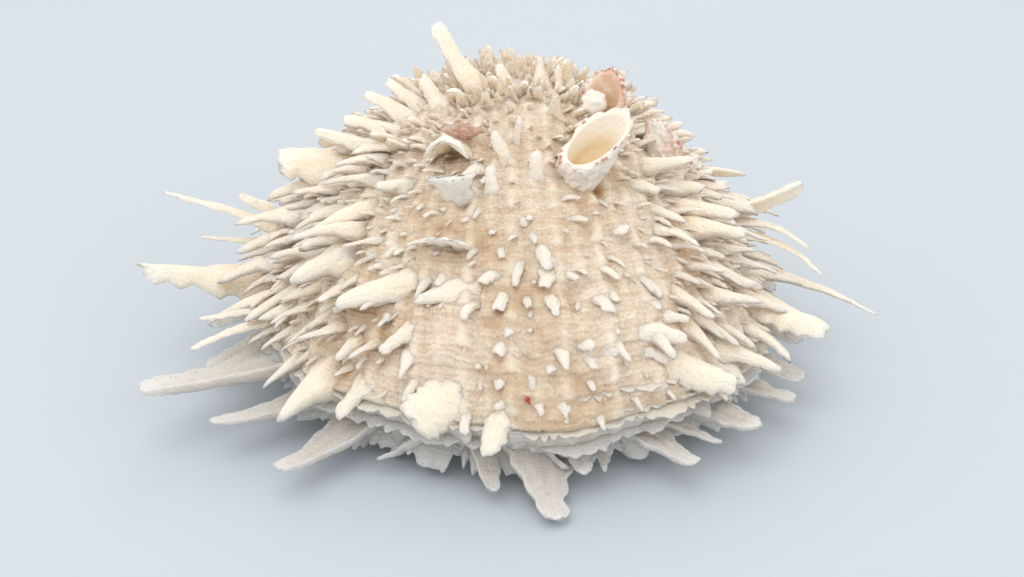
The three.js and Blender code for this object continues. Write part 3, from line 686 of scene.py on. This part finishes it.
long_mesh = spine_mesh(long_spines, sides=20, steps=22)
add_piece("upper_valve_long_spines", "upper_valve", long_mesh, SPINE_CREAM)
tongue_mesh = spine_mesh(tongues, sides=16, steps=10)
add_piece("upper_valve_tongues", "upper_valve", tongue_mesh, SPINE_CREAM)
lattices = [ordinary_spines(UPPER, shift, size, taken, zones) for shift, size, zones in LATTICES]
ordinary = {name: np.concatenate([lattice[name] for lattice in lattices]) for name in lattices[0]}
regions = {
    "left": ordinary["degrees"] < -FRONT_HALF_ANGLE, "right": ordinary["degrees"] > FRONT_HALF_ANGLE,
    "front": np.abs(ordinary["degrees"]) <= FRONT_HALF_ANGLE,
}
for region, inside in regions.items():
    region_mesh = spine_mesh(chosen(ordinary, inside), sides=8, steps=6)
    add_piece(f"upper_valve_spines_{region}", "upper_valve", region_mesh, SPINE_CREAM)

# The lower valve is shallower and whiter, and was cemented by the flat scar that it now rests on. Its wall
# has the same rings about the hinge, turned down.
LOWER = {
    "side": -1, "width_power": 0.8, "beak_back": 5, "beak_rise": 6, "oldest": 0.08,
    "turn": lambda growth: 0.62 * (1 - growth) ** 0.7,
}
FLOOR_THICKNESS = 4.5
# Its finish is a darker, greyer white than the domed valve's cream: painted shade for a valve that stands in
# shade under the rim
SHADED_WHITE = shell_finish(
    "shaded_white_shell", (0.67, 0.64, 0.61), (0.58, 0.53, 0.47), (0.47, 0.39, 0.31), (0.74, 0.73, 0.715), 0.6
)


def lower_relief(angle, growth):
    """The ribbed wall, a little flatter."""
    height, hollow = rib_relief(angle, growth)
    return height * 0.8, hollow


points, quads, caps, layers = bowl(LOWER, lower_relief, WALL_ROWS // 2, FLOOR_THICKNESS)
lower_wall = points, quads[:, ::-1], caps[:, ::-1], layers
add_piece("lower_valve_wall", "lower_valve", lower_wall, SHADED_WHITE)

# Straps of the lower valve stand out under the rim all round, with small pointed tongues hanging between
# them in front. Its frills hang down as thin ruffled sheets with torn edges, one for each pause in growth.
LOWER_SPINES = [
    # as the rows of UPPER_SPINES
    (-63, 0.96, -77, -42, 15, 11, 6, 2, 0, 20, 0.12),
    (-50, 0.95, -62, -46, 10, 9, 3.6, 3, 0, 10, 0.12),
    (-37, 0.95, -46, -60, 8, 9, 5, 4),
    (-22, 0.95, -27, -51, 4, 5, 1.6, 1),
    (-9, 0.95, -3, -62, 4, 7, 3.2, 1),
    (3, 0.95, 9.5, -69, 2.4, 12, 6, 3),
    (10, 0.96, 16, -60, 7, 7, 2.6, 1),
    (16, 0.95, 20, -58, 6, 3.4, 1.2, 1),
    (26, 0.95, 38, -58, 8, 8, 4.8, 1.5),
    (34, 0.96, 44, -52, 9, 6, 1.8, 1.5),
    (42, 0.96, 52, -49, 11, 9, 5, 1.5),
    (56, 0.96, 62, -36, 9, 6, 4, 2),
    (66, 0.96, 66, -26, 8, 6, 3, 2),
    (-76, 0.96, -68, -20, 7, 6, 3, 2),
    (-90, 0.96, -70, -4, 9, 6, 3, 2),
    (84, 0.96, 68, -10, 8, 6, 3, 2),
    (104, 0.96, 66, 14, 9, 6, 3, 2),
    (-104, 0.96, -68, 14, 9, 6, 3, 2),
    (120, 0.96, 58, 34, 10, 6, 3, 2),
    (-120, 0.96, -60, 34, 10, 6, 3, 2),
]
HANGING_TONGUES = [
    # as the rows of FRONT_TONGUES
    (-18, 0.95, -13, -49.5, 7, 1.4, 0.8, 0.5),
    (-13, 0.95, -10, -51, 5, 2.2, 1.2, 0.5),
    (-10, 0.95, -6, -51, 3, 2, 1, 0.5),
    (5, 0.95, 12.5, -56.5, 5.5, 4.6, 3.4, 0.5),
    (11, 0.95, 14.5, -54, 3, 2.6, 0.5, 0.5),
    (13, 0.95, 17.5, -52.5, 4.5, 1.8, 0.6, 0.5),
    (18, 0.95, 21, -49.5, 2, 2.6, 1.8, 0.5),
    (24, 0.95, 28, -49, 2.5, 6.5, 5.5, 0.5),
    (34, 0.95, 35.5, -44, 8, 2.6, 1.2, 0.5),
    (-21, 0.95, -16.5, -48.5, 1.5, 5, 4, 0.5),
    (-27, 0.95, -23.5, -46, 1.5, 5, 3.4, 0.5),
    (-35, 0.95, -31.5, -42.5, 1.5, 5, 3, 0.5),
]
straps = named_spines(LOWER, LOWER_SPINES, fold=0.3, tone=0.9)
add_piece("lower_valve_straps", "lower_valve", spine_mesh(straps, sides=24, steps=24), SHADED_WHITE)
hanging = named_spines(LOWER, HANGING_TONGUES, fold=0.3, tone=0.9)
add_piece("lower_valve_tongues", "lower_valve", spine_mesh(hanging, sides=14, steps=10), SHADED_WHITE)
FRILL_STEPS = 8
FRILL_CLEAR = 0.15


def frill_mesh(valve, growth, first, last, hang, steep, torn, thick, columns, seed):
    """A thin sheet from a line round the valve, leaving the wall at the steep angle and curling a little
    further. Its length follows noise and a saw of torn tongues of changing width. Its ruffles swell towards
    the edge."""
    degrees = np.linspace(first, last, columns)
    angle = np.radians(degrees)
    around = np.stack([degrees / 6, 0 * angle + seed * 7, 0 * angle], axis=-1)
    place = degrees / 4.6 + 1.4 * lumps(around, 1.1, seed + 20)
    tooth = np.abs(place - np.floor(place) - 0.5) * 2
    tall = chance(np.floor(place), seed, 31)
    length = 0.62 + 0.26 * lumps(around, 1.6, seed) + 0.14 * lumps(around, 0.22, seed)
    length = length + torn * tall * (1 - tooth) ** 0.6
    length = hang * length * np.minimum(eased(degrees, first, first + 7), 1 - eased(degrees, last - 7, last))
    point, grows, out = standing(valve, angle, np.full(angle.shape, growth))
    t = np.linspace(0, 1, FRILL_STEPS)[:, None]
    ruffle = 0.11 * hang * lumps(around, 0.5, seed + 5) * t ** 1.2
    ruffle = ruffle + 0.06 * hang * lumps(around, 0.17, seed + 6) * t ** 2
    turn = np.radians(steep) + 0.5 * t
    way = grows[None] * np.cos(turn)[..., None] + out[None] * np.sin(turn)[..., None]
    middle = point[None] - out[None] * 0.8 + way * (length[None] * t)[..., None]
    normal = out[None] * np.cos(turn)[..., None] - grows[None] * np.sin(turn)[..., None]
    middle = middle + normal * ruffle[..., None]
    half = thick * mixed(1, 0.45, t)[..., None]
    sheet = np.concatenate([middle + normal * half, (middle - normal * half)[::-1]])
    sheet[..., 2] = np.maximum(sheet[..., 2], FRILL_CLEAR)
    reach = (np.concatenate([t, t[::-1]]) * np.ones(columns)).T.ravel()
    rows = 2 * FRILL_STEPS
    quads = ring_faces(columns, rows)[:, ::valve["side"]]
    caps = np.stack([np.arange(rows), (columns - 1) * rows + np.arange(rows)[::-1]])
    caps = caps[:, ::-valve["side"]]
    # Reach is low where each sheet leaves the wall, so the finish paints shade as well as stain there
    layers = {"reach": 0.25 + 0.6 * reach, "tone": np.full(reach.size, 0.8), "line": reach * 3}
    return sheet.transpose(1, 0, 2).reshape(-1, 3), quads, caps, layers


LOWER_FRILLS = [
    # growth, first and last angle, how far it hangs, how steeply it turns from the wall in degrees, torn
    # share
    (0.975, -120, 120, 5.5, 28, 0.5),
    (0.935, -120, 120, 7.5, 40, 0.6),
    (0.88, -115, 115, 7.5, 50, 0.5),
    (0.81, -110, 110, 6.0, 55, 0.5),
]
for number, row in enumerate(LOWER_FRILLS):
    frill = frill_mesh(LOWER, *row, thick=0.45, columns=720, seed=number)
    add_piece(f"lower_valve_frill_{number}", "lower_valve", frill, SHADED_WHITE)

# The domed valve ends in front in a few thick wavy growth sheets of the same shell, laid down one after the
# other, each lapping over the next with a torn edge.
UPPER_SHEETS = [
    # growth, first and last angle, how far it juts, how steeply it turns from the wall in degrees, torn
    # share
    (0.955, 6, 52, 4.4, 14, 0.5),
    (0.985, 10, 62, 3.4, 10, 0.4),
    (0.992, -80, 80, 3.6, 2, 0.5),
    (0.925, -34, -8, 2.4, 14, 0.4),
    (0.965, -36, -10, 2.4, 12, 0.4),
    (0.90, 14, 40, 2.2, 14, 0.4),
]
for number, row in enumerate(UPPER_SHEETS):
    sheet_columns = 6 * (row[2] - row[1])
    sheet = frill_mesh(UPPER, *row, thick=0.6, columns=sheet_columns, seed=number + 10)
    add_piece(f"upper_valve_sheet_{number}", "upper_valve", sheet, CREAM)

# Broken blades stand near the middle of the dome: a thin upright plate that widens to a dark-specked broken
# edge, a low shelf like it further down, and a hood arched over a rust-brown hollow. The specks are grit.
BLADES = [
    # as the rows of UPPER_SPINES
    (-17.5, 0.706, -12, -19, 54, 3.6, 10.4, 0.4, 0, -18, 0.05),
    (-18, 0.783, -13, -31.5, 45.4, 8, 9, 0.3, 0, -14, 0.04),
]
HOODS = [
    # as the rows of UPPER_SPINES
    (-20, 0.622, -13.5, -10.5, 58.6, 7.5, 9, 0.8, 0, -8, 0.06),
]
SQUARE_ENDS = {"square": True}


def weathered_finish():
    """The white shell finish with dark specks in a band along the broken edge."""
    material = shell_finish(
        "weathered_shell", (0.84, 0.81, 0.75), (0.70, 0.60, 0.48), (0.5, 0.33, 0.17), (0.84, 0.83, 0.80), 0.8
    )
    shader = material.node_tree.nodes["Principled BSDF"]
    shell = Wire(material.node_tree, shader.inputs["Base Color"].links[0].from_socket)
    place = shell.node("ShaderNodeTexCoord", output="Object")
    specks = shell.spots(place, 900.0)
    clumps = shell.noise(place, 260.0, 2.0)
    edge = shell.layer("reach").between(0.86, 0.96)
    dark = (1 - specks.between(0.18, 0.34)) * edge * clumps.between(0.45, 0.6)
    (dark * 0.9).colour(shell, rgb(0.10, 0.10, 0.11)).feeds(shader, "Base Color")
    return material


blades = named_spines(UPPER, BLADES, fold=0.08, tone=0.95, body=0.07) | SQUARE_ENDS
add_piece("upper_valve_blades", "upper_valve", spine_mesh(blades, sides=28, steps=14), weathered_finish())
hoods = named_spines(UPPER, HOODS, fold=0.55, tone=0.95, body=0.13) | SQUARE_ENDS
add_piece("upper_valve_hood", "upper_valve", spine_mesh(hoods, sides=36, steps=14), SPINE_CREAM)

# Grit of other creatures is stuck on the dome: a grey knob, a few grey grains, a red dot and a white lump
# that sits in the mouth of the rear cup.
GRIT = [
    # x, y, z, radius, how dark, how red
    (9.5, -34.4, 41.2, 1.2, 0.35, 0),
    (3.8, -25.6, 46.4, 1.0, 0.25, 0),
    (-24.8, -37, 30, 1.0, 0.3, 0),
    (-24.6, -37.8, 29.3, 0.5, 1, 0),
    (-32, -13.5, 42.6, 0.9, 0.3, 0),
    (-30.6, -13.8, 43, 0.7, 0.5, 0),
    (4.2, -55.2, 21.6, 0.5, 0.3, 1),
    (4.5, -55.6, 21.0, 0.35, 0.3, 1),
    (34.3, -18.4, 40.8, 0.7, 0.2, 0.6),
    (19.5, 7.2, 60.5, 2.6, 0, 0),
]
GRAIN_SIDES = 24
GRAIN_RINGS = 14
POLE_ANGLE = 0.12
table = np.array(GRIT)
places, radii, dark, red = table[:, None, None, :3], table[:, 3, None, None], table[:, 4], table[:, 5]
around = np.linspace(0, 2 * np.pi, GRAIN_SIDES, endpoint=False)
down = np.linspace(POLE_ANGLE, np.pi - POLE_ANGLE, GRAIN_RINGS)[:, None]
ball = np.stack([
    np.sin(down) * np.cos(around), -np.sin(down) * np.sin(around), np.cos(down) + 0 * around
], axis=-1)
grains = places + ball * radii[..., None]
grains = grains + ball * (0.3 * radii * lumps(grains, 0.9, 6))[..., None]
first = (np.arange(len(GRIT)) * GRAIN_RINGS * GRAIN_SIDES)[:, None, None]
ring = np.arange(GRAIN_SIDES)
ends = np.stack([ring[::-1], (GRAIN_RINGS - 1) * GRAIN_SIDES + ring])
grit_mesh = (
    grains.reshape(-1, 3), (ring_faces(GRAIN_RINGS, GRAIN_SIDES) + first).reshape(-1, 4),
    (ends + first).reshape(-1, GRAIN_SIDES),
    {
        name: np.repeat(values, GRAIN_RINGS * GRAIN_SIDES)
        for name, values in (("dark", dark), ("red", red))
    },
)


def grit_finish():
    """Grey-white to near-black lumps by one layer, and red by another, with a fine grain."""
    material, shader, start = new_finish("grit", {"Roughness": 0.7})
    place = start.node("ShaderNodeTexCoord", output="Object")
    speckled = start.layer("dark") * (0.5 + start.noise(place, 1400.0, 3.0))
    greyed = speckled.clamped().colour(rgb(0.86, 0.82, 0.74), rgb(0.16, 0.15, 0.15))
    start.layer("red").colour(greyed, rgb(0.45, 0.04, 0.04)).feeds(shader, "Base Color")
    return material


add_piece("upper_valve_grit", "upper_valve", grit_mesh, grit_finish())

# Empty shells of other creatures are cemented on the dome: a deep oval cup with rose-red dots along its
# lip, a rounder scaly one behind it, and two small ones. They are grey-white and lumpy, and cream inside.
CUPS = {
    "cemented_cup_front": {
        "mouth": (19, -14.3, 60.8), "faces": (-0.35, -0.6, 0.72), "long": (0.78, 0.24, 0.58),
        "wide": 17.5, "narrow": 10, "ragged": 0.1, "rosy": 0, "pink": 0,
    },
    "cemented_cup_rear": {
        "mouth": (21.5, 8, 61.5), "faces": (-0.65, -0.62, 0.45), "long": (0.3, 0.3, 0.9),
        "wide": 12.5, "narrow": 11, "ragged": 1.6, "rosy": 0.8, "pink": 1,
    },
    "cemented_cup_right": {
        "mouth": (36.5, 4, 52.5), "faces": (0.75, 0.45, 0.5), "long": (0.6, -0.3, -0.6),
        "wide": 13, "narrow": 10, "ragged": 1.0, "rosy": 0.7, "pink": 1,
    },
    "cemented_cup_left": {
        "mouth": (-9.9, -2.4, 58), "faces": (-0.05, -0.72, -0.69), "long": (1, 0, 0.1),
        "wide": 8.5, "narrow": 8, "ragged": 0.3, "rosy": 1, "pink": 0,
    },
}


CUP_PROFILE = np.array([
    # share of the way from the root to the mouth, and share of the mouth's width: outside, lip, inside
    (0, 0.34), (0.25, 0.5), (0.5, 0.74), (0.78, 0.96), (0.95, 1.05), (1.0, 1.0), (0.98, 0.84), (0.8, 0.74),
    (0.55, 0.5), (0.45, 0.1),
])
CUP_RINGS = 72
CUP_SIDES = 120
CUP_SINK = 2.5


def cup_mesh(spot, mouth, faces, long, wide, narrow, ragged, rosy, pink, seed):
    """A cup as rings from its root out to the lip and back down inside. Each ring is an oval on a straight
    line from the root to the middle of the mouth, sized by an eased profile, with lumps and scales on the
    outside."""
    point, _, out = (part[0] for part in standing(UPPER, np.radians(spot[:1]), np.array(spot[1:])))
    root = point - out * CUP_SINK
    normal = unit(np.array(faces, float))
    long = np.array(long, float)
    long = unit(long - normal * (long @ normal))
    short = np.cross(normal, long)
    stage = np.linspace(0, 1, len(CUP_PROFILE))
    fine = np.linspace(0, 1, CUP_RINGS)
    height, size = (np.interp(fine, stage, column) for column in CUP_PROFILE.T)
    turn = np.linspace(0, 2 * np.pi, CUP_SIDES, endpoint=False)
    inside = eased(fine, 0.5, 0.62)[:, None]
    lip = np.exp(-((fine - 0.52) / 0.07) ** 2)[:, None]
    scallop = 1 + 0.05 * lip * np.sin(turn * 11 + seed) + 0.05 * lip * np.sin(turn * 5 + 2 * seed)
    ring = long * (np.cos(turn) * wide / 2)[:, None] + short * (np.sin(turn) * narrow / 2)[:, None]
    middle = mixed(root, np.array(mouth, float), height[:, None])
    points = middle[:, None] + ring[None] * (size[:, None] * scallop)[..., None]
    bumpy = 0.8 * lumps(points, 2.6, seed) + 0.5 * lumps(points, 1.2, seed + 1)
    bumpy = bumpy + 0.25 * lumps(points, 0.6, seed + 2)
    shingle = height[:, None] * 7 + 0.8 * lumps(points, 3, seed + 3)
    scales = 0.35 * (shingle - np.floor(shingle))
    points = points + unit(ring)[None] * ((bumpy + scales) * (1 - inside) * (1 - 0.3 * lip))[..., None]
    points = points + normal * ((0.5 + ragged) * lip * lumps(points, 1.4 + ragged, seed + 4))[..., None]
    shape = points.shape[:-1]
    layers = {"inside": inside, "lip": lip, "deep": 1 - height[:, None], "rosy": rosy, "pink": pink}
    layers = {name: np.broadcast_to(values, shape).astype(float) for name, values in layers.items()}
    ends = np.arange(CUP_SIDES)
    caps = np.stack([ends[::-1], (CUP_RINGS - 1) * CUP_SIDES + ends])
    return points.reshape(-1, 3), ring_faces(CUP_RINGS, CUP_SIDES), caps, layers


def cup_finish():
    """Grey-white lumpy shell with pink-tan patches, cream inside and darker tan deeper in, which is painted
    shade, and rose-red dots along the lip.
    """
    material, shader, start = new_finish("cemented_shell", {
        "Roughness": 0.6, "Subsurface Weight": 0.1, "Subsurface Scale": 0.001,
    })
    place = start.node("ShaderNodeTexCoord", output="Object")
    inside, lip, deep = (start.layer(layer) for layer in ("inside", "lip", "deep"))
    rosy, pink = start.layer("rosy"), start.layer("pink")
    cloud = start.noise(place, 260.0, 4.0)
    grain = start.noise(place, 1100.0, 2.0)
    dots = start.spots(place, 720.0)
    patches = cloud.between(0.44, 0.6) * (0.3 + rosy * 0.7)
    outer = patches.colour(rgb(0.80, 0.76, 0.70), rgb(0.70, 0.48, 0.38))
    outer = grain.between(0.5, 0.66).colour(outer, rgb(0.84, 0.81, 0.77))
    # Inside, the cream turns darker tan deeper down the cup: painted shade
    plain = deep.between(0.1, 0.5).colour(rgb(0.87, 0.80, 0.68), rgb(0.72, 0.55, 0.33))
    inner = (pink * cloud.between(0.3, 0.55)).colour(plain, rgb(0.76, 0.52, 0.38))
    spread = (lip + (1 - inside) * rosy * 0.3).between(0.2, 0.5)
    dotted = (1 - dots.between(0.3, 0.55)) * spread * cloud.between(0.34, 0.44)
    coloured = (dotted * 0.85).colour(inside.colour(outer, inner), rgb(0.45, 0.15, 0.12))
    coloured.feeds(shader, "Base Color")
    (cloud + grain * 0.6).bump(0.6, 0.0006).feeds(shader, "Normal")
    return material


PINKISH = cup_finish()
for number, (node, cup) in enumerate(CUPS.items()):
    cup_parts = cup_mesh(CUP_SPOTS[node], **cup, seed=number)
    add_piece(f"{node}_shell", node, cup_parts, PINKISH)

# The floor is a plain pale sheet, and the light is soft studio light: a broad lamp high on the left in
# front, a weaker one on the right, one behind, and a pale surrounding.
floor_finish = new_finish("floor", {"Base Color": rgb(0.50, 0.56, 0.62), "Roughness": 0.8})[0]
bpy.ops.mesh.primitive_plane_add(size=6, location=(0, 0, 0))
floor = bpy.context.object
floor.name = "floor"
floor.data.materials.append(floor_finish)


def soft_lamp(name, place, target, size, power):
    """A round lamp of the given size, in metres, turned to its target."""
    lamp = bpy.data.lights.new(name, "AREA")
    lamp.shape = "DISK"
    lamp.size = size
    lamp.energy = power
    holder = bpy.data.objects.new(name, lamp)
    bpy.context.scene.collection.objects.link(holder)
    holder.location = place
    holder.rotation_euler = (Vector(target) - Vector(place)).to_track_quat("-Z", "Y").to_euler()


LAMPS = [
    # name, place, what it points at, size and power
    ("key_light", (-0.22, -0.25, 0.85), (0, 0, 0.03), 0.9, 2.9),
    ("fill_light", (0.6, -0.55, 0.4), (0, 0, 0.03), 0.8, 0.9),
    ("back_light", (0.1, 0.7, 0.6), (0, 0, 0.04), 0.6, 1.2),
]
for lamp_row in LAMPS:
    soft_lamp(*lamp_row)
world = bpy.data.worlds.new("surrounding")
world.use_nodes = True
world.node_tree.nodes["Background"].inputs["Color"].default_value = (1.0, 0.97, 0.93, 1)
world.node_tree.nodes["Background"].inputs["Strength"].default_value = 1.02
bpy.context.scene.world = world
bpy.context.scene.view_settings.view_transform = "Standard"

# The camera stands in front of the shell and looks down on it.
CAMERA_RISE = 29
CAMERA_DISTANCE = 0.335
CAMERA_TARGET = np.array([0, 0, 0.016])
FRAME_WIDTH = 1024
PICTURE_SHIFT = (5, 2)
lens = bpy.data.cameras.new("camera")
lens.lens = 50
lens.sensor_width = 36
lens.shift_x, lens.shift_y = (pixels / FRAME_WIDTH for pixels in PICTURE_SHIFT)
lens.clip_start = 0.01
camera = bpy.data.objects.new("camera", lens)
bpy.context.scene.collection.objects.link(camera)
rise = np.radians(CAMERA_RISE)
back_off = np.array([0, -np.cos(rise), np.sin(rise)])
camera.location = Vector(CAMERA_TARGET + back_off * CAMERA_DISTANCE)
camera.rotation_euler = (np.pi / 2 - rise, 0, 0)
bpy.context.scene.camera = camera
